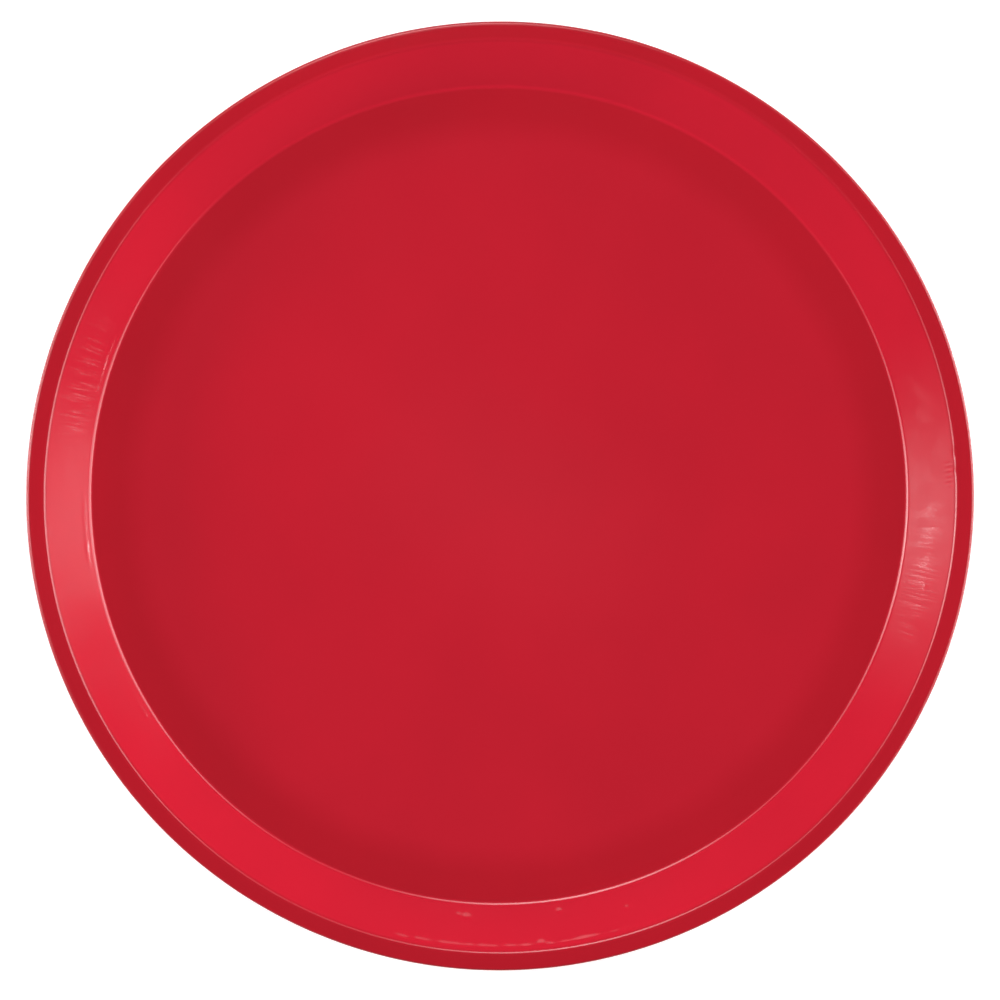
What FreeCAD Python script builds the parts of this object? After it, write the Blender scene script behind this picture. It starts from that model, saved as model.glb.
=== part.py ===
"""Round moulded serving tray, 14 inches across, in glass-fibre reinforced polyester.

The tray is pressed in one go from five pieces laid up in the mould: a smooth pigmented skin above and one
below, a pressed glass mat between them, and a rim packed with glass roving round a bent metal rod.
Every piece is turned about the vertical axis, so each is a profile in the XZ plane and a revolution.

Frame: +Z up, origin on the axis at the underside of the floor. Units: millimetres and degrees.
"""

import FreeCAD, Part  # noqa: E401  FreeCAD has to come first
import os
from math import sin, tan

import Sketcher
from FreeCAD import Vector

SIZES = {
    "outer_radius": 177.8,  # 14 inch tray
    "ledge_width": 6.8,  # flat rim, from the crest of the wall to the outer edge
    "floor_radius": 154.2,  # where the floor would meet the wall if the corner were sharp
    "wall_angle": 40,  # slope of the wall above the horizontal
    "skin": 0.3,  # each pigmented skin
    "mat": 1.8,  # the pressed glass mat
    "floor_fillet": 3.0,  # hollow between floor and wall, on the upper surface
    "crest_round": 2.0,  # round between wall and ledge, on the upper surface
    "edge_round": 0.9,  # round on the outer edge, above and below
    "rim_depth": 5.0,  # ledge to the bottom of the rim
    "root_fillet": 1.2,  # hollow between the wall and the rim, underneath
    "mat_stop": 1.5,  # the mat ends this far short of the rim, measured along the wall
    "parting_drop": 3.0,  # the skins meet this far below the ledge
    "parting_bevel": 0.12,  # on each skin where they meet
    "rod_diameter": 3.2,
    "rod_inset": 3.4,  # middle of the rod, in from the outer edge
    "rod_gap": 0.5,  # angle between the two ends of the bent rod
}

# Expressions shared by several pieces. Depth is measured square to the upper surface, into the tray.
OUTSIDE = "Sizes.outer_radius"
SKIN = "Sizes.skin"
LAMINATE = f"(2 * {SKIN} + Sizes.mat)"
MAT_BOTTOM = f"({SKIN} + Sizes.mat)"  # depth of the mat's lower face
CORNER_SHIFT = "tan(Sizes.wall_angle / 2)"  # a corner moves out by this much per millimetre of depth
CREST_RADIUS = f"({OUTSIDE} - Sizes.ledge_width)"
HEIGHT = f"({LAMINATE} + ({CREST_RADIUS} - Sizes.floor_radius) * tan(Sizes.wall_angle))"
RIM_BOTTOM = f"({HEIGHT} - Sizes.rim_depth)"
PARTING = f"({HEIGHT} - Sizes.parting_drop)"
INSIDE_SKIN = f"({OUTSIDE} - {SKIN})"

TURN = 360
VOLUME_TOLERANCE = 1e-4  # share of a volume


def point(radius, height, rounding=None):
    """A corner of a profile, as expressions: radius from the axis, height, and radius of its rounding."""
    return radius, height, rounding


def wall_radius(depth, height):
    """Radius of the wall's surface at that depth where it passes that height."""
    above_floor = f"({height} - {LAMINATE} + {depth})"
    return f"Sizes.floor_radius + {depth} * {CORNER_SHIFT} + {above_floor} / tan(Sizes.wall_angle)"


def on_axis(depth):
    return point("0", f"{LAMINATE} - {depth}")


def floor_corner(depth):
    radius = f"Sizes.floor_radius + {depth} * {CORNER_SHIFT}"
    return point(radius, f"{LAMINATE} - {depth}", f"Sizes.floor_fillet + {depth}")


def crest_corner(depth):
    radius = f"{CREST_RADIUS} + {depth} * {CORNER_SHIFT}"
    return point(radius, f"{HEIGHT} - {depth}", f"Sizes.crest_round - {depth}")


def rim_root(depth):
    """Where the underside of the wall meets the bottom of the rim, on the surface at that depth."""
    height = f"({RIM_BOTTOM} + {LAMINATE} - {depth})"
    return point(wall_radius(depth, height), height, f"Sizes.root_fillet + {LAMINATE} - {depth}")


def mat_edge(height_in_mat):
    """A point on the mat's square-cut edge, that high above its lower face."""
    foot = f"({RIM_BOTTOM} + {SKIN} - Sizes.mat_stop * sin(Sizes.wall_angle))"
    radius = f"{wall_radius(MAT_BOTTOM, foot)} - {height_in_mat} * sin(Sizes.wall_angle)"
    return point(radius, f"{foot} + {height_in_mat} * cos(Sizes.wall_angle)")


def upper_skin_profile():
    return [
        on_axis("0"),
        floor_corner("0"),
        crest_corner("0"),
        point(OUTSIDE, HEIGHT, "Sizes.edge_round"),
        point(OUTSIDE, f"{PARTING} + Sizes.parting_bevel"),
        point(f"{OUTSIDE} - Sizes.parting_bevel", PARTING),
        point(INSIDE_SKIN, PARTING),
        point(INSIDE_SKIN, f"{HEIGHT} - {SKIN}", f"Sizes.edge_round - {SKIN}"),
        crest_corner(SKIN),
        floor_corner(SKIN),
        on_axis(SKIN),
    ]


def glass_mat_profile():
    return [
        on_axis(SKIN),
        floor_corner(SKIN),
        mat_edge("Sizes.mat"),
        mat_edge("0"),
        floor_corner(MAT_BOTTOM),
        on_axis(MAT_BOTTOM),
    ]


def rim_roving_profile():
    return [
        mat_edge("Sizes.mat"),
        crest_corner(SKIN),
        point(INSIDE_SKIN, f"{HEIGHT} - {SKIN}", f"Sizes.edge_round - {SKIN}"),
        point(INSIDE_SKIN, f"{RIM_BOTTOM} + {SKIN}", f"Sizes.edge_round - {SKIN}"),
        rim_root(MAT_BOTTOM),
        mat_edge("0"),
    ]


def lower_skin_profile():
    return [
        on_axis(LAMINATE),
        floor_corner(LAMINATE),
        rim_root(LAMINATE),
        point(OUTSIDE, RIM_BOTTOM, "Sizes.edge_round"),
        point(OUTSIDE, f"{PARTING} - Sizes.parting_bevel"),
        point(f"{OUTSIDE} - Sizes.parting_bevel", PARTING),
        point(INSIDE_SKIN, PARTING),
        point(INSIDE_SKIN, f"{RIM_BOTTOM} + {SKIN}", f"Sizes.edge_round - {SKIN}"),
        rim_root(MAT_BOTTOM),
        floor_corner(MAT_BOTTOM),
        on_axis(MAT_BOTTOM),
    ]


def make_sheet(doc):
    sheet = doc.addObject("Spreadsheet::Sheet", "Sizes")
    for row, (alias, size) in enumerate(SIZES.items(), start=1):
        sheet.set(f"A{row}", alias.replace("_", " "))
        sheet.set(f"B{row}", str(size))
        sheet.setAlias(f"B{row}", alias)
    doc.recompute()


def number(doc, expression):
    result = doc.Sizes.evalExpression(expression)
    return float(getattr(result, "Value", result))


def origin_feature(body, role):
    return next(feature for feature in body.Origin.OriginFeatures if feature.Role == role)


def new_body(doc, name):
    body = doc.addObject("PartDesign::Body", name)
    body.Label = name
    body.Placement = FreeCAD.Placement()
    return body


def new_sketch(body, name):
    sketch = body.newObject("Sketcher::SketchObject", name)
    sketch.AttachmentSupport = (origin_feature(body, "XZ_Plane"), "")
    sketch.MapMode = "FlatFace"
    return sketch


def dimension(sketch, kind, geometry, expression):
    """Adds a dimension to the sketch and binds it to an expression."""
    index = sketch.addConstraint(Sketcher.Constraint(kind, *geometry, number(sketch.Document, expression)))
    sketch.setExpression(f"Constraints[{index}]", expression)


def place_point(sketch, geometry, end, radius, height):
    origin = (-1, 1)
    vertical_axis = -2
    if radius == "0":
        sketch.addConstraint(Sketcher.Constraint("PointOnObject", geometry, end, vertical_axis))
    else:
        dimension(sketch, "DistanceX", (*origin, geometry, end), radius)
    dimension(sketch, "DistanceY", (*origin, geometry, end), height)


def rounding_arc(before, corner, after, radius):
    """The arc of that radius between two straight sides, as its first, middle and last points."""
    back = (before - corner).normalize()
    ahead = (after - corner).normalize()
    half_angle = back.getAngle(ahead) / 2
    inward = (back + ahead).normalize()
    middle = corner + inward * (radius / sin(half_angle) - radius)
    reach = radius / tan(half_angle)
    return corner + back * reach, middle, corner + ahead * reach


def join_with_arc(sketch, before, after, corner, arc_points, rounding):
    """Rounds the corner between two sides of the sketch, both already cut back to the arc's ends."""
    first, middle, last = arc_points
    arc = sketch.addGeometry(Part.Arc(first, middle, last), False)
    apex = sketch.addGeometry(Part.Point(corner), True)
    turns_left = (middle - first).cross(last - middle).z > 0
    arc_start, arc_end = (1, 2) if turns_left else (2, 1)
    sketch.addConstraint(Sketcher.Constraint("Tangent", before, 2, arc, arc_start))
    sketch.addConstraint(Sketcher.Constraint("Tangent", after, 1, arc, arc_end))
    sketch.addConstraint(Sketcher.Constraint("PointOnObject", apex, 1, before))
    sketch.addConstraint(Sketcher.Constraint("PointOnObject", apex, 1, after))
    dimension(sketch, "Radius", (arc,), rounding)
    return apex


def draw_profile(sketch, profile):
    """Draws a closed outline through the profile's points, with its rounded corners as arcs."""
    doc = sketch.Document
    corners = [Vector(number(doc, radius), number(doc, height), 0) for radius, height, _ in profile]
    arcs = {}
    for i, (_, _, rounding) in enumerate(profile):
        if rounding:
            next_corner = corners[(i + 1) % len(corners)]
            arcs[i] = rounding_arc(corners[i - 1], corners[i], next_corner, number(doc, rounding))
    sides = []
    for i, corner in enumerate(corners):
        following = (i + 1) % len(corners)
        start = arcs[i][2] if i in arcs else corner
        end = arcs[following][0] if following in arcs else corners[following]
        sides.append(sketch.addGeometry(Part.LineSegment(start, end), False))
    for i, (radius, height, rounding) in enumerate(profile):
        before, after = sides[i - 1], sides[i]
        if rounding:
            apex = join_with_arc(sketch, before, after, corners[i], arcs[i], rounding)
            place_point(sketch, apex, 1, radius, height)
        else:
            sketch.addConstraint(Sketcher.Constraint("Coincident", before, 2, after, 1))
            place_point(sketch, after, 1, radius, height)


def draw_rod_section(sketch):
    """The rod's round section, halfway down the rim."""
    doc = sketch.Document
    radius = f"{OUTSIDE} - Sizes.rod_inset"
    height = f"{HEIGHT} - Sizes.rim_depth / 2"
    size = "Sizes.rod_diameter / 2"
    centre = Vector(number(doc, radius), number(doc, height), 0)
    circle = sketch.addGeometry(Part.Circle(centre, Vector(0, 0, 1), number(doc, size)), False)
    place_point(sketch, circle, 3, radius, height)
    dimension(sketch, "Radius", (circle,), size)


def turn(body, kind, sketch, name, angle):
    """Turns the sketch about the vertical axis, the same way both sides of the sketch plane."""
    feature = body.newObject(kind, name)
    feature.Profile = sketch
    feature.ReferenceAxis = (sketch, ["V_Axis"])
    feature.Midplane = True
    feature.setExpression("Angle", angle)
    sketch.Visibility = False
    body.Document.recompute()
    return feature


def make_turned(doc, name, profile):
    body = new_body(doc, name)
    sketch = new_sketch(body, f"{name}_profile")
    draw_profile(sketch, profile)
    turn(body, "PartDesign::Revolution", sketch, f"{name}_turned", str(TURN))
    return body


def make_rod(doc):
    body = new_body(doc, "rim_rod")
    sketch = new_sketch(body, "rod_section")
    draw_rod_section(sketch)
    turn(body, "PartDesign::Revolution", sketch, "rod_bent", f"{TURN} - Sizes.rod_gap")
    return body


def make_roving(doc, rod):
    """The packing of the rim, with the space that the rod fills."""
    body = make_turned(doc, "rim_roving", rim_roving_profile())
    solid_volume = body.Shape.Volume
    sketch = new_sketch(body, "rod_space_section")
    draw_rod_section(sketch)
    turn(body, "PartDesign::Groove", sketch, "rod_space", f"{TURN} - Sizes.rod_gap")
    removed = solid_volume - body.Shape.Volume
    if abs(removed - rod.Shape.Volume) > VOLUME_TOLERANCE * rod.Shape.Volume:
        raise RuntimeError(f"the rod's space is {removed:.1f} mm3, not {rod.Shape.Volume:.1f}")
    return body


def check_document(doc, bodies):
    doc.recompute()
    for item in doc.Objects:
        if "Invalid" in item.State or "Error" in item.State:
            raise RuntimeError(f"{item.Label} failed: {item.State}")
    for sketch in doc.findObjects("Sketcher::SketchObject"):
        if sketch.solve() != 0:
            raise RuntimeError(f"{sketch.Label} isn't solved")
    for body in bodies:
        if body.Shape.isNull() or not body.Shape.isValid():
            raise RuntimeError(f"{body.Label} has no valid shape")
        if len(body.Shape.Solids) != 1:
            raise RuntimeError(f"{body.Label} has {len(body.Shape.Solids)} solids")


def check_fit(bodies):
    """No two pieces overlap."""
    for i, one in enumerate(bodies):
        for other in bodies[i + 1:]:
            shared = one.Shape.common(other.Shape).Volume
            if shared > VOLUME_TOLERANCE * min(one.Shape.Volume, other.Shape.Volume):
                raise RuntimeError(f"{one.Label} and {other.Label} share {shared:.3f} mm3")


def main():
    doc = FreeCAD.newDocument("serving_tray")
    make_sheet(doc)
    rod = make_rod(doc)
    bodies = [
        make_turned(doc, "upper_skin", upper_skin_profile()),
        make_turned(doc, "glass_mat", glass_mat_profile()),
        make_roving(doc, rod),
        rod,
        make_turned(doc, "lower_skin", lower_skin_profile()),
    ]
    check_document(doc, bodies)
    check_fit(bodies)
    os.makedirs("parts", exist_ok=True)
    for body in bodies:
        body.Shape.exportStep(f"parts/{body.Label}.step")
        box = body.Shape.BoundBox
        print(f"{body.Label}: {body.Shape.Volume:.0f} mm3, z {box.ZMin:.3f} to {box.ZMax:.3f}")


main()
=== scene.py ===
"""Round moulded serving tray in glossy red polyester: the looks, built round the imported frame.

Units are metres unless a name says otherwise. +Z is up and the tray stands on the floor at z = 0.
Angles go round the tray from +X towards +Y.
"""

import math

import bmesh
import bpy
from mathutils import Matrix, Vector, noise


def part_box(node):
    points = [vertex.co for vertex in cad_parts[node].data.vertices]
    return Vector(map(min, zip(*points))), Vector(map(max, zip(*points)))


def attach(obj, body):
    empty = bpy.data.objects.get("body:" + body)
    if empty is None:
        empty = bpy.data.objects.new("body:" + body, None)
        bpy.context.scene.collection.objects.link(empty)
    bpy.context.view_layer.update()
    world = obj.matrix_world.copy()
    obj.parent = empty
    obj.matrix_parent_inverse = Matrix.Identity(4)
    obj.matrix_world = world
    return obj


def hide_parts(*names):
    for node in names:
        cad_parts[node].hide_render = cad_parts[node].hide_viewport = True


MM = 0.001

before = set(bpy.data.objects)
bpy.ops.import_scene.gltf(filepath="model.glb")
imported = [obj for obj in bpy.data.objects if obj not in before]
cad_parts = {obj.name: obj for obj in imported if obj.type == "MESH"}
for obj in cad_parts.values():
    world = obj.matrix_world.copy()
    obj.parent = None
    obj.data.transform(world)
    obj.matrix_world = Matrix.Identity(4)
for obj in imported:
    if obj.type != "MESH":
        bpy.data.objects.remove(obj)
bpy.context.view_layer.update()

# ---------------------------------------------------------------- sizes, from the frame
UPPER_LOW, UPPER_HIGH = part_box("upper_skin")
LOWER_LOW, LOWER_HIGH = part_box("lower_skin")
MAT_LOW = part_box("glass_mat")[0]
OUTER_RADIUS = UPPER_HIGH.x
HEIGHT = UPPER_HIGH.z
SKIN = MAT_LOW.z - LOWER_LOW.z
FLOOR_TOP = UPPER_LOW.z + SKIN
PARTING_Z = LOWER_HIGH.z

# ---------------------------------------------------------------- sizes of the mould
LEDGE_WIDTH = 6.8 * MM
FLOOR_CORNER_RADIUS = 154.2 * MM
RIM_DEPTH = 5.0 * MM
FLOOR_FILLET = 3.0 * MM
CREST_ROUND = 2.0 * MM
EDGE_ROUND = 0.9 * MM
ROOT_FILLET = 1.2 * MM
PARTING_BEVEL = 0.12 * MM

CREST_RADIUS = OUTER_RADIUS - LEDGE_WIDTH
WALL_ANGLE = math.atan2(HEIGHT - FLOOR_TOP, CREST_RADIUS - FLOOR_CORNER_RADIUS)
CORNER_SHIFT = math.tan(WALL_ANGLE / 2)
RIM_BOTTOM = HEIGHT - RIM_DEPTH

# ---------------------------------------------------------------- mesh density
# Spokes round the tray, and the sectors where they are closer: first and last angle, and step, in degrees.
SPOKES = 720
FINE_SECTORS = ((0, 8, 0.125), (254, 296, 0.25))

# Steps along the profile: how many on each rounding, and the longest between them.
FACE_ARC_STEPS = 9
HIDDEN_ARC_STEPS = 4
FLOOR_STEP = 10 * MM
WALL_STEP = 0.62 * MM
LEDGE_STEP = 1.2 * MM
HIDDEN_STEP = 40 * MM
PARTING_POINTS = 2

# ---------------------------------------------------------------- marks of moulding on the upper face
# Slow waves of the whole face, finer waves of the wall and ledge: (wavelength, height of the wave).
SLOW_WAVE = (48 * MM, 0.022 * MM)
FINE_WAVE = (8 * MM, 0.016 * MM)

# Low ridges that run round the tray: first and last angle, radius, width, height.
RIDGES = (
    (253, 291, 169.0 * MM, 0.55 * MM, 0.085 * MM),
    (157, 166, 156.9 * MM, 0.55 * MM, 0.070 * MM),
    (178, 190, 156.5 * MM, 0.55 * MM, 0.050 * MM),
    (205, 215, 156.8 * MM, 0.55 * MM, 0.040 * MM),
)

# Specks of resin that stand proud: angle, radius, length round the tray, width, height.
SPECKS = (
    (275.0, 168.3 * MM, 2.2 * MM, 0.8 * MM, 0.15 * MM),
    (280.5, 169.2 * MM, 2.6 * MM, 0.8 * MM, 0.14 * MM),
    (265.3, 159.0 * MM, 2.4 * MM, 0.8 * MM, 0.16 * MM),
    (264.2, 158.6 * MM, 1.2 * MM, 0.6 * MM, 0.12 * MM),
    (278.0, 158.1 * MM, 1.4 * MM, 0.7 * MM, 0.15 * MM),
    (287.0, 162.2 * MM, 1.1 * MM, 0.7 * MM, 0.12 * MM),
    (176.6, 163.8 * MM, 1.0 * MM, 0.6 * MM, 0.06 * MM),
    (184.0, 170.0 * MM, 1.1 * MM, 0.6 * MM, 0.09 * MM),
    (348.0, 163.6 * MM, 1.4 * MM, 0.6 * MM, 0.06 * MM),
)

# Nicks where the crest was rubbed: angle, radius, length round the tray, width, depth.
NICKS = (
    (5.5, 171.5 * MM, 3.2 * MM, 0.8 * MM, 0.16 * MM),
    (3.2, 171.4 * MM, 2.6 * MM, 0.7 * MM, 0.14 * MM),
)

# Short scores down the wall just inside the crest, evenly spaced: first and last angle, radius, length.
SCORES = (1.2, 4.4, 168.6 * MM, 1.8 * MM)
SCORE_COUNT = 5
SCORE_HEIGHT = 0.035 * MM


# ---------------------------------------------------------------- profiles
def on_surface(depth):
    """Corners of the tray's surface at that depth below the upper face, from the axis to the ledge."""
    floor = (FLOOR_CORNER_RADIUS + depth * CORNER_SHIFT, FLOOR_TOP - depth, FLOOR_FILLET + depth)
    crest = (CREST_RADIUS + depth * CORNER_SHIFT, HEIGHT - depth, max(CREST_ROUND - depth, 0))
    return (0, FLOOR_TOP - depth, 0), floor, crest


def rim_root(depth):
    """Corner between the underside of the wall and the bottom of the rim."""
    rise = FLOOR_TOP - depth
    radius = FLOOR_CORNER_RADIUS + depth * CORNER_SHIFT + RIM_BOTTOM / math.tan(WALL_ANGLE)
    return radius, RIM_BOTTOM + rise, ROOT_FILLET + rise


def arc_at(corners, i, steps):
    """Points of the arc that rounds corner i of the outline."""
    corner = Vector(corners[i][:2])
    rounding = corners[i][2]
    before = (Vector(corners[i - 1][:2]) - corner).normalized()
    after = (Vector(corners[i + 1][:2]) - corner).normalized()
    half_angle = before.angle(after) / 2
    centre = corner + (before + after).normalized() * (rounding / math.sin(half_angle))
    first = corner + before * (rounding / math.tan(half_angle)) - centre
    turn = math.pi - 2 * half_angle
    if first.cross(corner - centre) < 0:
        turn = -turn
    return [centre + Matrix.Rotation(turn * k / steps, 2) @ first for k in range(steps + 1)]


def rounded_path(corners, longest_steps, arc_steps):
    """Points along the corners (radius, height, rounding), with one longest step for each run."""
    path = []
    for i, (radius, height, rounding) in enumerate(corners):
        points = arc_at(corners, i, arc_steps) if rounding else [Vector((radius, height))]
        if path:
            start = path[-1]
            steps = max(1, math.ceil((points[0] - start).length / longest_steps[i - 1]))
            path.extend(start.lerp(points[0], k / steps) for k in range(1, steps))
        path.extend(points)
    return path


def spoke_angles():
    """Angles round the tray, closer together in the sectors with small marks."""
    angles = {round(360 * k / SPOKES, 3) for k in range(SPOKES)}
    for first, last, step in FINE_SECTORS:
        angles |= {round(first + step * k, 3) for k in range(round((last - first) / step) + 1)}
    return [math.radians(angle) for angle in sorted(angles)]


def lathe(name, face, hidden, relief=None):
    """A closed mesh turned about Z: out along the face, then back to the axis along the hidden side.

    The relief lifts the face, apart from its last points, which make the parting line.
    """
    mesh = bmesh.new()
    angles = spoke_angles()
    path = face + hidden
    rings = []
    for i, point in enumerate(path):
        if point.x < 1e-7:
            rings.append([mesh.verts.new((0, 0, point.y))])
            continue
        ahead = path[min(i + 1, len(path) - 1)] - path[max(i - 1, 0)]
        normal = Vector((-ahead.y, ahead.x)).normalized()
        ring = []
        for angle in angles:
            lift = relief(point.x, angle) if relief and i < len(face) - PARTING_POINTS else 0
            radius, height = point + normal * lift
            ring.append(mesh.verts.new((radius * math.cos(angle), radius * math.sin(angle), height)))
        rings.append(ring)
    for inner, outer in zip(rings, rings[1:]):
        for k in range(len(angles)):
            following = (k + 1) % len(angles)
            if len(inner) == 1:
                corners = inner[0], outer[k], outer[following]
            elif len(outer) == 1:
                corners = inner[k], outer[0], inner[following]
            else:
                corners = inner[k], outer[k], outer[following], inner[following]
            mesh.faces.new(corners)
    bmesh.ops.recalc_face_normals(mesh, faces=mesh.faces)
    for polygon in mesh.faces:
        polygon.smooth = True
    data = bpy.data.meshes.new(name)
    mesh.to_mesh(data)
    mesh.free()
    piece = bpy.data.objects.new(name, data)
    bpy.context.scene.collection.objects.link(piece)
    return piece


# ---------------------------------------------------------------- relief of the upper face
def smooth_step(low, high, value):
    t = min(max((value - low) / (high - low), 0), 1)
    return t * t * (3 - 2 * t)


def bell(distance, width):
    return math.exp(-(distance / width) ** 2)


def arc_length(angle, at_degrees, radius):
    """Distance round the tray from a mark at that angle."""
    turn = (angle - math.radians(at_degrees) + math.pi) % math.tau - math.pi
    return turn * radius


def waves(point, wavelength, height):
    return height * noise.noise(point / wavelength)


def spot(radius, angle, mark):
    """A soft-edged speck or nick."""
    at_degrees, at_radius, length, width, height = mark
    along = arc_length(angle, at_degrees, at_radius)
    return height * bell(along, length / 2) * bell(radius - at_radius, width)


def ridge(radius, angle, mark):
    """A low ridge that wanders a little as it runs round the tray, and fades out at its ends."""
    first, last, at_radius, width, height = mark
    half = (last - first) / 2
    along = abs(arc_length(angle, first + half, 1))
    strength = 1 - smooth_step(math.radians(half * 0.7), math.radians(half), along)
    if not strength:
        return 0
    spoke = Vector((math.cos(angle), math.sin(angle), at_radius * 100))
    wander = 0.7 * width * noise.noise(spoke * 30)
    unevenness = max(0.6 + 1.2 * noise.noise(spoke * 55), 0)
    return height * strength * unevenness * bell(radius - at_radius - wander, width)


def scores(radius, angle):
    first, last, at_radius, length = SCORES
    pitch = math.radians(last - first) / SCORE_COUNT
    offset = (angle - math.radians(first)) % math.tau
    if offset > pitch * SCORE_COUNT:
        return 0
    return SCORE_HEIGHT * math.sin(math.tau * offset / pitch) * bell(radius - at_radius, length / 2)


def face_relief(radius, angle):
    """How far the moulded upper face stands proud of the plain turned shape."""
    point = Vector((radius * math.cos(angle), radius * math.sin(angle), 0))
    lift = waves(point, *SLOW_WAVE)
    if radius < FLOOR_CORNER_RADIUS - FLOOR_FILLET:
        return lift
    lift += waves(point, *FINE_WAVE)
    lift += sum(ridge(radius, angle, mark) for mark in RIDGES)
    lift += sum(spot(radius, angle, mark) for mark in SPECKS)
    lift -= sum(spot(radius, angle, mark) for mark in NICKS)
    return lift + scores(radius, angle)


def back_relief(radius, angle):
    """The slow waves of the underside, which fade out where the tray rests."""
    point = Vector((radius * math.cos(angle), radius * math.sin(angle), 0))
    return waves(point, *SLOW_WAVE) * smooth_step(FLOOR_CORNER_RADIUS, CREST_RADIUS, radius)


# ---------------------------------------------------------------- pieces
def make_upper_skin(material):
    edge = (OUTER_RADIUS, HEIGHT, EDGE_ROUND)
    parting = [(OUTER_RADIUS, PARTING_Z + PARTING_BEVEL, 0), (OUTER_RADIUS - PARTING_BEVEL, PARTING_Z, 0)]
    face_steps = (FLOOR_STEP, WALL_STEP, LEDGE_STEP, LEDGE_STEP, LEDGE_STEP)
    face = rounded_path([*on_surface(0), edge, *parting], face_steps, FACE_ARC_STEPS)
    inner_edge = (OUTER_RADIUS - SKIN, HEIGHT - SKIN, EDGE_ROUND - SKIN)
    hidden_corners = [(OUTER_RADIUS - SKIN, PARTING_Z, 0), inner_edge, *reversed(on_surface(SKIN))]
    hidden = rounded_path(hidden_corners, [HIDDEN_STEP] * 5, HIDDEN_ARC_STEPS)
    piece = lathe("tray_face", face, hidden, face_relief)
    piece.data.materials.append(material)
    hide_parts("upper_skin")
    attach(piece, "root")


def make_lower_skin(material):
    bottom, mat_bottom = FLOOR_TOP, FLOOR_TOP - SKIN
    edge = (OUTER_RADIUS, RIM_BOTTOM, EDGE_ROUND)
    parting = [(OUTER_RADIUS, PARTING_Z - PARTING_BEVEL, 0), (OUTER_RADIUS - PARTING_BEVEL, PARTING_Z, 0)]
    face_steps = (3 * FLOOR_STEP, WALL_STEP, LEDGE_STEP, LEDGE_STEP, LEDGE_STEP)
    face_corners = [*on_surface(bottom)[:2], rim_root(bottom), edge, *parting]
    face = rounded_path(face_corners, face_steps, FACE_ARC_STEPS)
    inner_edge = (OUTER_RADIUS - SKIN, RIM_BOTTOM + SKIN, EDGE_ROUND - SKIN)
    hidden_corners = [(OUTER_RADIUS - SKIN, PARTING_Z, 0), inner_edge, rim_root(mat_bottom)]
    hidden_corners += reversed(on_surface(mat_bottom)[:2])
    hidden = rounded_path(hidden_corners, [HIDDEN_STEP] * 5, HIDDEN_ARC_STEPS)
    piece = lathe("tray_back", face, hidden, back_relief)
    piece.data.materials.append(material)
    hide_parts("lower_skin")
    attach(piece, "root")


# ---------------------------------------------------------------- shader helpers
def add(tree, kind, inputs, **settings):
    """A shader node; each input is a value or the socket that feeds it. Gives its first output."""
    node = tree.nodes.new("ShaderNode" + kind)
    for name, value in settings.items():
        setattr(node, name, value)
    for name, value in inputs.items():
        if isinstance(value, bpy.types.NodeSocket):
            tree.links.new(value, node.inputs[name])
        else:
            node.inputs[name].default_value = value
    return node.outputs[0]


def calculate(tree, operation, *values):
    return add(tree, "Math", dict(enumerate(values)), operation=operation)


def product(tree, first, *others):
    """All the values multiplied together."""
    for value in others:
        first = calculate(tree, "MULTIPLY", first, value)
    return first


def noise_of(tree, place, scale, detail=2.0):
    return add(tree, "TexNoise", {"Vector": place, "Scale": scale, "Detail": detail})


def remap(tree, value, low, high, to_low, to_high):
    ends = {"From Min": low, "From Max": high, "To Min": to_low, "To Max": to_high}
    return add(tree, "MapRange", {"Value": value, **ends})


def stretched(tree, place, size):
    """The place with its axes scaled, so that a noise of it is drawn out."""
    return add(tree, "VectorMath", {0: place, 1: size}, operation="MULTIPLY")


def mix(tree, factor, first, second):
    return add(tree, "MixRGB", {"Fac": factor, "Color1": (*first, 1), "Color2": (*second, 1)})


def bump(tree, height, distance, normal=None):
    """A bump of that height map, in metres from its darkest to its brightest."""
    inputs = {"Height": height, "Distance": distance, "Strength": 1.0}
    if normal:
        inputs["Normal"] = normal
    return add(tree, "Bump", inputs)


def object_place(tree):
    return tree.nodes.new("ShaderNodeTexCoord").outputs["Object"]


def radius_of(tree, place):
    flat = stretched(tree, place, (1, 1, 0))
    return add(tree, "VectorMath", {0: flat}, operation="LENGTH").node.outputs["Value"]


def spoke_of(tree, place):
    """The unit vector from the axis to the place, which turns once round the tray."""
    return add(tree, "VectorMath", {0: stretched(tree, place, (1, 1, 0))}, operation="NORMALIZE")


def round_the_tray(tree, place, across, along, up):
    """A place whose noise is drawn out along or across the tray's rings, with no seam."""
    spoke = stretched(tree, spoke_of(tree, place), (along, along, along))
    height = add(tree, "SeparateXYZ", {"Vector": place}).node.outputs["Z"]
    rise = calculate(tree, "MULTIPLY", height, up)
    out = calculate(tree, "MULTIPLY_ADD", radius_of(tree, place), across, rise)
    return add(tree, "VectorMath", {0: spoke, 1: add(tree, "CombineXYZ", {"Z": out})}, operation="ADD")


def near_radius(tree, place, radius, width):
    """One at that radius, falling to nothing a width away."""
    away = calculate(tree, "ABSOLUTE", calculate(tree, "SUBTRACT", radius_of(tree, place), radius))
    return remap(tree, away, 0, width, 1, 0)


def near_angle(tree, place, degrees, half_width):
    """One at that angle round the tray, falling to nothing half_width degrees away."""
    direction = (math.cos(math.radians(degrees)), math.sin(math.radians(degrees)), 0)
    lined_up = add(tree, "VectorMath", {0: spoke_of(tree, place), 1: direction}, operation="DOT_PRODUCT")
    return remap(tree, lined_up.node.outputs["Value"], math.cos(math.radians(half_width)), 1, 0, 1)


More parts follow.
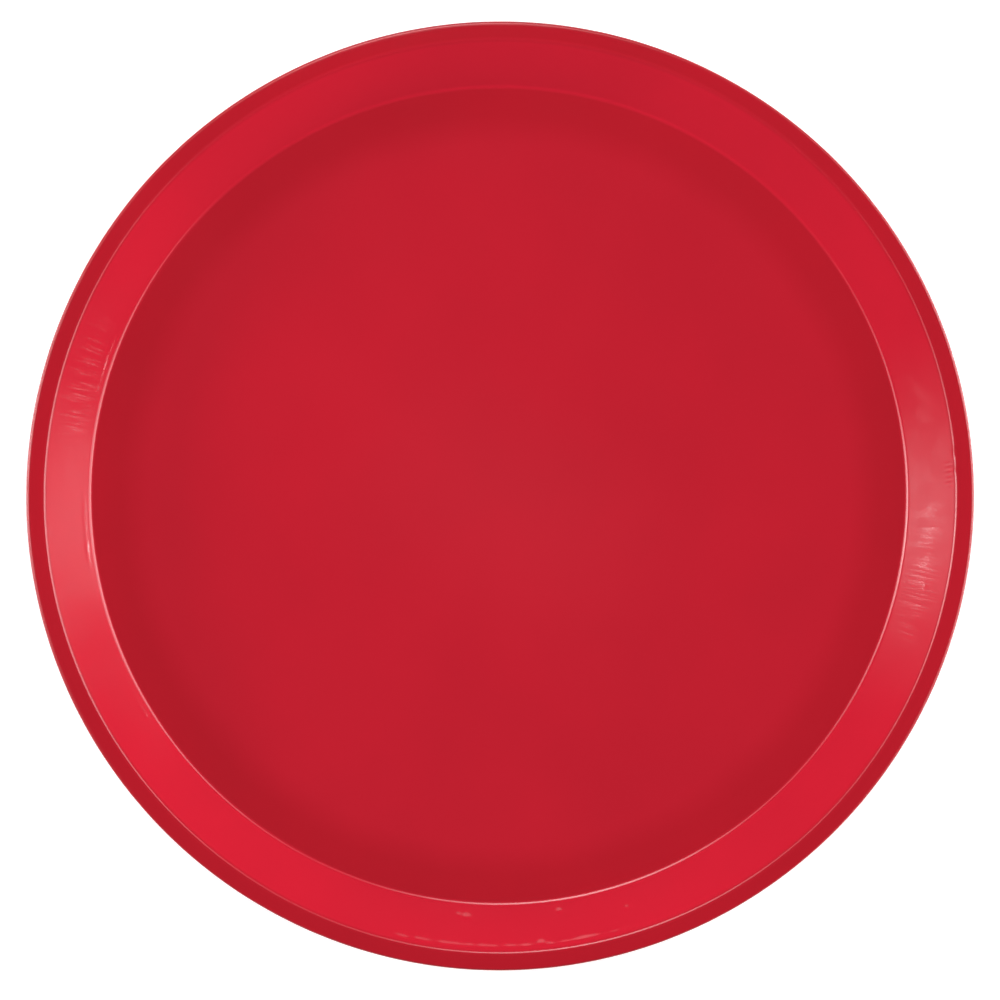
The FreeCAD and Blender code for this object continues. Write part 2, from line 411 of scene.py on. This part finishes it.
def strands(tree, place, length, width):
    """Chopped glass strands lying in three directions: bright where a strand crosses."""
    brightest = None
    for turn in (0.2, 1.3, 2.4):
        turned = add(tree, "VectorRotate", {"Vector": place, "Angle": turn}, rotation_type="Z_AXIS")
        lying = stretched(tree, turned, (1 / length, 1 / width, 1 / width))
        strand = remap(tree, noise_of(tree, lying, 1.0), 0.55, 0.72, 0, 1)
        brightest = calculate(tree, "MAXIMUM", brightest, strand) if brightest else strand
    return brightest


def new_material(name):
    material = bpy.data.materials.new(name)
    material.use_nodes = True
    return material, material.node_tree, material.node_tree.nodes["Principled BSDF"]


def connect(tree, shader, **sockets):
    for name, socket in sockets.items():
        tree.links.new(socket, shader.inputs[name.replace("_", " ")])


# ---------------------------------------------------------------- materials
RED = (0.390, 0.0059, 0.0168)
# Painted shade: a darker copy of the red for the ledge and the outermost floor.
PAINTED_SHADE_RED = tuple(channel * share for channel, share in zip(RED, (0.88, 0.70, 0.74)))
# Painted light: a lighter copy of the red for the wall, in place of low light from all round.
PAINTED_LIGHT_RED = tuple(channel * share for channel, share in zip(RED, (1.20, 1.10, 1.25)))
CLOUD_SHADES = (0.965, 1.035)
GLOSS_IOR = 1.55
GLOSS_ROUGHNESS = 0.075

# What smudges and marks add to the roughness, and how deep the marks on the wall are.
SMUDGE_ROUGHNESS = 0.035
RUB_ROUGHNESS = 0.16
DRAG_ROUGHNESS = 0.14
BLOTCH_ROUGHNESS = 0.06
SATIN_EDGE_ROUGHNESS = 0.25
WALL_MARK_DEPTH = 0.013 * MM

# How far the marks reach: rubbing from the crest and the outer edge, the satin edge, and marks from mid-wall.
CREST_RUB_WIDTH = 0.9 * MM
EDGE_RUB_WIDTH = 0.8 * MM
SATIN_EDGE_WIDTH = 1.1 * MM
WALL_MARK_WIDTH = 9 * MM

# Where the painted shade and painted light change: the outer floor as shares of its radius, how strong the
# painted shade gets there, and two blends.
OUTER_FLOOR = (0.86, 0.93)
OUTER_FLOOR_SHADE = 0.88
WALL_FOOT = 1.1 * MM
TONE_BLEND = 1.2 * MM

# Where the wall was dragged on leaving the mould, and where it is blotched (degrees).
STREAK_ANGLES = (163.5, 350)
STREAK_HALF_WIDTH = 12
BLOTCH_ANGLE = 3
BLOTCH_HALF_WIDTH = 20


def shade(colour, factor):
    return tuple(channel * factor for channel in colour)


def clouded_mix(tree, clouded, colour):
    """The colour, a little darker or lighter as the pigment clouds."""
    return mix(tree, clouded, *(shade(colour, factor) for factor in CLOUD_SHADES))


def painted_edge_shade(tree, place):
    """Painted shade: full on the ledge and nearly so on the outermost floor, which are painted a little
    darker than the middle.
    """
    radius = radius_of(tree, place)
    on_ledge = remap(tree, radius, CREST_RADIUS, CREST_RADIUS + TONE_BLEND, 0, 1)
    shade_begins, shade_full = (share * FLOOR_CORNER_RADIUS for share in OUTER_FLOOR)
    # Painted shadow of the wall on the outer floor, growing over these radii.
    outer_floor = remap(tree, radius, shade_begins, shade_full, 0, OUTER_FLOOR_SHADE)
    before_wall = remap(tree, radius, FLOOR_CORNER_RADIUS - WALL_FOOT, FLOOR_CORNER_RADIUS, 1, 0)
    return calculate(tree, "MAXIMUM", on_ledge, product(tree, outer_floor, before_wall))


def painted_wall_light(tree, place):
    """Painted light: full on the wall, which is painted a little lighter all the way round, and nothing on
    floor and ledge.
    """
    radius = radius_of(tree, place)
    past_floor = remap(tree, radius, FLOOR_CORNER_RADIUS - WALL_FOOT, FLOOR_CORNER_RADIUS, 0, 1)
    before_ledge = remap(tree, radius, CREST_RADIUS - TONE_BLEND, CREST_RADIUS, 1, 0)
    return product(tree, past_floor, before_ledge)


def gloss_colour(tree, place):
    """Red that is clouded all over, with painted shade darkening the ledge and the outermost floor, and
    painted light lightening the wall.
    """
    cloud = noise_of(tree, place, 16, 3)
    grain = noise_of(tree, place, 1400)
    tone = calculate(tree, "MULTIPLY_ADD", grain, 0.12, cloud)
    clouded = remap(tree, tone, 0.36, 0.76, 0, 1)
    # The clouded red, with a painted-shade copy for the outside and a painted-light copy for the wall.
    middle, outside, wall = (clouded_mix(tree, clouded, red) for red in (RED, PAINTED_SHADE_RED, PAINTED_LIGHT_RED))
    # Painted shade darkens the ledge and the outermost floor.
    colour = add(tree, "MixRGB", {"Fac": painted_edge_shade(tree, place), "Color1": middle, "Color2": outside})
    # Painted light lightens the wall.
    return add(tree, "MixRGB", {"Fac": painted_wall_light(tree, place), "Color1": colour, "Color2": wall})


def rubbed_edges(tree, place):
    """Uneven rubbing along the crest and the outer edge."""
    crest = near_radius(tree, place, CREST_RADIUS, CREST_RUB_WIDTH)
    edge = near_radius(tree, place, OUTER_RADIUS, EDGE_RUB_WIDTH)
    return product(tree, calculate(tree, "MAXIMUM", crest, edge), noise_of(tree, place, 420, 4))


def drag_marks(tree, place, on_wall):
    """Fine lines down the wall, where it was dragged on leaving the mould."""
    drag = remap(tree, noise_of(tree, round_the_tray(tree, place, 90, 210, 0), 1, 4), 0.46, 0.72, 0, 1)
    sectors = [near_angle(tree, place, angle, STREAK_HALF_WIDTH) for angle in STREAK_ANGLES]
    return product(tree, drag, on_wall, calculate(tree, "MAXIMUM", *sectors))


def blotches(tree, place, on_wall):
    """Slightly duller, uneven patches on one side of the wall."""
    blotch = remap(tree, noise_of(tree, place, 110, 3), 0.45, 0.62, 0, 1)
    return product(tree, blotch, on_wall, near_angle(tree, place, BLOTCH_ANGLE, BLOTCH_HALF_WIDTH))


def make_red_gloss():
    """Pigmented polyester off a polished mould, with rubbed edges and with marks on the wall."""
    material, tree, shader = new_material("red_gloss_polyester")
    place = object_place(tree)
    on_wall = near_radius(tree, place, (FLOOR_CORNER_RADIUS + CREST_RADIUS) / 2, WALL_MARK_WIDTH)
    dragged = drag_marks(tree, place, on_wall)
    blotched = blotches(tree, place, on_wall)
    satin_edge = near_radius(tree, place, OUTER_RADIUS, SATIN_EDGE_WIDTH)
    smudge = remap(tree, noise_of(tree, place, 38, 4), 0.35, 0.7, 0, SMUDGE_ROUGHNESS)
    rough = calculate(tree, "ADD", smudge, GLOSS_ROUGHNESS)
    rough = calculate(tree, "MULTIPLY_ADD", rubbed_edges(tree, place), RUB_ROUGHNESS, rough)
    rough = calculate(tree, "MULTIPLY_ADD", dragged, DRAG_ROUGHNESS, rough)
    rough = calculate(tree, "MULTIPLY_ADD", blotched, BLOTCH_ROUGHNESS, rough)
    rough = calculate(tree, "MULTIPLY_ADD", satin_edge, SATIN_EDGE_ROUGHNESS, rough)

    peel = bump(tree, noise_of(tree, place, 260, 1), 0.0022 * MM)
    fine = bump(tree, noise_of(tree, place, 1900, 2), 0.0004 * MM, peel)
    marked = bump(tree, calculate(tree, "ADD", dragged, blotched), WALL_MARK_DEPTH, fine)
    connect(tree, shader, Base_Color=gloss_colour(tree, place), Roughness=rough, Normal=marked)
    shader.inputs["IOR"].default_value = GLOSS_IOR
    return material


def make_red_satin():
    """The same polyester off a sanded mould, with the glass strands faintly printed through."""
    material, tree, shader = new_material("red_satin_polyester")
    place = object_place(tree)
    cloud = noise_of(tree, place, 22, 3)
    print_through = strands(tree, place, 14 * MM, 0.9 * MM)
    tone = calculate(tree, "MULTIPLY_ADD", print_through, 0.25, cloud)
    colour = mix(tree, remap(tree, tone, 0.35, 0.9, 0, 1), shade(RED, 0.86), RED)
    rough = calculate(tree, "MULTIPLY_ADD", noise_of(tree, place, 300, 3), 0.14, 0.28)
    rough = calculate(tree, "MULTIPLY_ADD", print_through, 0.06, rough)
    sanded = bump(tree, noise_of(tree, place, 2600, 2), 0.004 * MM)
    printed = bump(tree, print_through, 0.012 * MM, sanded)
    connect(tree, shader, Base_Color=colour, Roughness=rough, Normal=printed)
    return material


def make_glass_mat():
    """Chopped glass strand soaked in the red resin."""
    material, tree, shader = new_material("glass_strand_mat")
    place = object_place(tree)
    lying = strands(tree, place, 18 * MM, 0.8 * MM)
    colour = mix(tree, lying, (0.36, 0.045, 0.05), (0.66, 0.34, 0.30))
    rough = calculate(tree, "MULTIPLY_ADD", noise_of(tree, place, 500), 0.2, 0.5)
    connect(tree, shader, Base_Color=colour, Roughness=rough, Normal=bump(tree, lying, 0.08 * MM))
    return material


def make_roving():
    """Continuous glass strands that run round the rim."""
    material, tree, shader = new_material("glass_roving")
    place = object_place(tree)
    bundle = noise_of(tree, round_the_tray(tree, place, 1500, 9, 2100), 1, 3)
    colour = mix(tree, remap(tree, bundle, 0.35, 0.65, 0, 1), (0.42, 0.07, 0.07), (0.70, 0.42, 0.37))
    rough = calculate(tree, "MULTIPLY_ADD", bundle, 0.25, 0.42)
    connect(tree, shader, Base_Color=colour, Roughness=rough, Normal=bump(tree, bundle, 0.06 * MM))
    return material


def make_drawn_aluminium():
    """Bare aluminium wire, with the fine lines of the drawing die along it."""
    material, tree, shader = new_material("drawn_aluminium")
    place = object_place(tree)
    lines = noise_of(tree, round_the_tray(tree, place, 5200, 14, 6100), 1, 3)
    dull = noise_of(tree, place, 180, 3)
    colour = mix(tree, remap(tree, dull, 0.35, 0.7, 0, 1), (0.78, 0.79, 0.80), (0.90, 0.91, 0.92))
    rough = calculate(tree, "MULTIPLY_ADD", lines, 0.22, 0.2)
    connect(tree, shader, Base_Color=colour, Roughness=rough, Normal=bump(tree, lines, 0.006 * MM))
    shader.inputs["Metallic"].default_value = 1
    return material


def dress_inner_node(name, material):
    """Gives a CAD node that stays as it is a better finish."""
    for material_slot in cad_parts[name].material_slots:
        material_slot.material = material


# ---------------------------------------------------------------- stage
TABLE_RADIUS = 9
TABLE_DROP = 0.02 * MM
TABLE_TONE = 0.8
TABLE_GLOW = 0.5
WORLD_RADIANCE = 0.14
HORIZON_RISE = 0.09


def make_stage_material():
    """Pale matte table with only a breath of unevenness, which glows a little so that it shows as white."""
    material, tree, shader = new_material("pale_table")
    place = object_place(tree)
    white = (1, 1, 1)
    colour = mix(tree, noise_of(tree, place, 3, 2), shade(white, 0.98 * TABLE_TONE), shade(white, TABLE_TONE))
    connect(tree, shader, Base_Color=colour)
    shader.inputs["Roughness"].default_value = 0.9
    shader.inputs["Specular IOR Level"].default_value = 0.2
    shader.inputs["Emission Color"].default_value = (1, 1, 1, 1)
    shader.inputs["Emission Strength"].default_value = TABLE_GLOW
    return material


def make_stage():
    mesh = bmesh.new()
    bmesh.ops.create_circle(mesh, cap_ends=True, segments=96, radius=TABLE_RADIUS)
    data = bpy.data.meshes.new("table")
    mesh.to_mesh(data)
    mesh.free()
    table = bpy.data.objects.new("table", data)
    table.location.z = -TABLE_DROP
    bpy.context.scene.collection.objects.link(table)
    data.materials.append(make_stage_material())


def make_world():
    """A dim studio with a white horizon, so that a low view still has a pale backdrop."""
    world = bpy.data.worlds.new("studio")
    bpy.context.scene.world = world
    world.use_nodes = True
    tree = world.node_tree
    direction = tree.nodes.new("ShaderNodeTexCoord").outputs["Generated"]
    rise = add(tree, "SeparateXYZ", {"Vector": direction}).node.outputs["Z"]
    strength = remap(tree, rise, 0.02, HORIZON_RISE, 1, WORLD_RADIANCE)
    tree.links.new(strength, tree.nodes["Background"].inputs["Strength"])
    tree.nodes["Background"].inputs["Color"].default_value = (1, 1, 1, 1)


LIGHT_DISTANCE = 1.6
SIDE_FADE = 2.0
TOP_FADE = 0.6

# Soft lights: name, azimuth and half its width, lowest and highest elevation (degrees), radiance.
LIGHTS = (
    ("right_main", 2, 34, 17, 64, 4.2),
    ("right_high", 8, 50, 48, 70, 4.1),
    ("right_low", 2, 26, 3, 20, 0.3),
    ("right_glow", 1, 17, 8, 16, 0.9),
    ("right_bar", 8, 40, 3, 8, 49.0),
    ("left_main", 178, 20, 38, 62, 9.0),
    ("left_high", 176, 44, 52, 78, 4.6),
    ("left_low", 177, 27, 8, 28, 0.65),
    ("left_glow", 179, 17, 12, 24, 0.9),
    ("left_bar", 175, 30, 9, 15, 48.0),
    ("back_main", 95, 26, 46, 70, 5.4),
    ("back_low", 95, 40, 2, 16, 1.4),
    ("back_high", 94, 40, 54, 78, 3.8),
    ("overhead", 335, 40, 82, 90, 0.1),
)


def soften(light):
    """Fades a light from its middle to its edges, as a diffuser does."""
    light.use_nodes = True
    tree = light.node_tree
    across = tree.nodes.new("ShaderNodeNewGeometry").outputs["Parametric"]
    inward = add(tree, "VectorMath", {0: (1, 1, 1), 1: across}, operation="SUBTRACT")
    hump = add(tree, "VectorMath", {0: across, 1: inward}, operation="MULTIPLY")
    parts = add(tree, "SeparateXYZ", {"Vector": hump}).node.outputs
    sideways = calculate(tree, "POWER", calculate(tree, "MULTIPLY", parts["X"], 4), SIDE_FADE)
    upwards = calculate(tree, "POWER", calculate(tree, "MULTIPLY", parts["Y"], 4), TOP_FADE)
    strength = calculate(tree, "MULTIPLY", sideways, upwards)
    tree.links.new(strength, tree.nodes["Emission"].inputs["Strength"])


def make_light(name, azimuth, half_width, low, high, radiance):
    """A soft rectangular light that fills those elevations and that width of azimuth, all in degrees."""
    middle = math.radians((low + high) / 2)
    half_height = math.radians((high - low) / 2)
    out = Vector((
        math.cos(math.radians(azimuth)) * math.cos(middle),
        math.sin(math.radians(azimuth)) * math.cos(middle),
        math.sin(middle),
    ))
    light = bpy.data.lights.new(name, "AREA")
    light.shape = "RECTANGLE"
    light.size = 2 * LIGHT_DISTANCE * math.cos(middle) * math.tan(math.radians(half_width))
    light.size_y = 2 * LIGHT_DISTANCE * math.tan(half_height)
    light.energy = radiance * math.pi * light.size * light.size_y
    soften(light)
    lamp = bpy.data.objects.new(name, light)
    lamp.location = out * LIGHT_DISTANCE
    lamp.rotation_mode = "QUATERNION"
    lamp.rotation_quaternion = out.to_track_quat("Z", "Y")
    lamp.visible_camera = False
    bpy.context.scene.collection.objects.link(lamp)


# ---------------------------------------------------------------- camera
CAMERA_DISTANCE = 2.0
FRAME_WIDTH = 374.3 * MM
SENSOR = 36
AIM = Vector((-1.00 * MM, -1.07 * MM, HEIGHT))
LEAN = Vector((-0.0589, 0.0275, 1)).normalized()


def make_camera():
    """A camera over the tray that leans a little to the left and back, with +Y up in its picture."""
    data = bpy.data.cameras.new("camera")
    data.sensor_width = SENSOR
    data.lens = SENSOR * CAMERA_DISTANCE / FRAME_WIDTH
    data.clip_start = 0.1
    data.clip_end = 50
    camera = bpy.data.objects.new("camera", data)
    camera.location = AIM + LEAN * CAMERA_DISTANCE
    right = Vector((0, 1, 0)).cross(LEAN).normalized()
    camera.rotation_mode = "QUATERNION"
    camera.rotation_quaternion = Matrix((right, LEAN.cross(right), LEAN)).transposed().to_quaternion()
    bpy.context.scene.collection.objects.link(camera)
    bpy.context.scene.camera = camera


make_camera()
make_upper_skin(make_red_gloss())
make_lower_skin(make_red_satin())
dress_inner_node("glass_mat", make_glass_mat())
dress_inner_node("rim_roving", make_roving())
dress_inner_node("rim_rod", make_drawn_aluminium())
make_stage()
make_world()
for light_settings in LIGHTS:
    make_light(*light_settings)
bpy.context.scene.view_settings.view_transform = "Standard"
